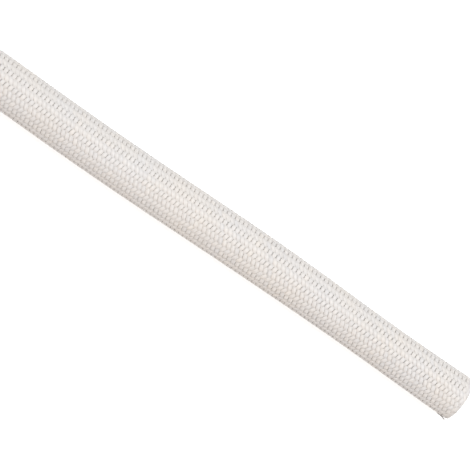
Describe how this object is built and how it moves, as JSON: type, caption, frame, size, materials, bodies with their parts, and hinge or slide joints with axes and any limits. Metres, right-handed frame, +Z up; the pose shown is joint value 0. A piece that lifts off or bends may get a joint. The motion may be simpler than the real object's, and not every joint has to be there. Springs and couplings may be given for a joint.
{
  "type": "braided cable sleeve",
  "caption": "Cut length of white braided glass fibre sleeve, a soft open-ended tube that slides over a cable or a bundle of wires to shield it from heat and rubbing.",
  "frame": {"origin": "on the surface that the sleeve lies on, under the middle of its length and width", "axes": "+X along the sleeve towards the cut end that the picture shows, +Y across it, +Z up from the surface it lies on"},
  "size_m": [1, 0.0188, 0.0175],
  "materials": {
    "glass_yarn": "braid of flat bundles of white glass filaments, with a soft silky sheen"
  },
  "bodies": {
    "root": {"braided_sleeve": "glass_yarn"}
  },
  "joints": []
}
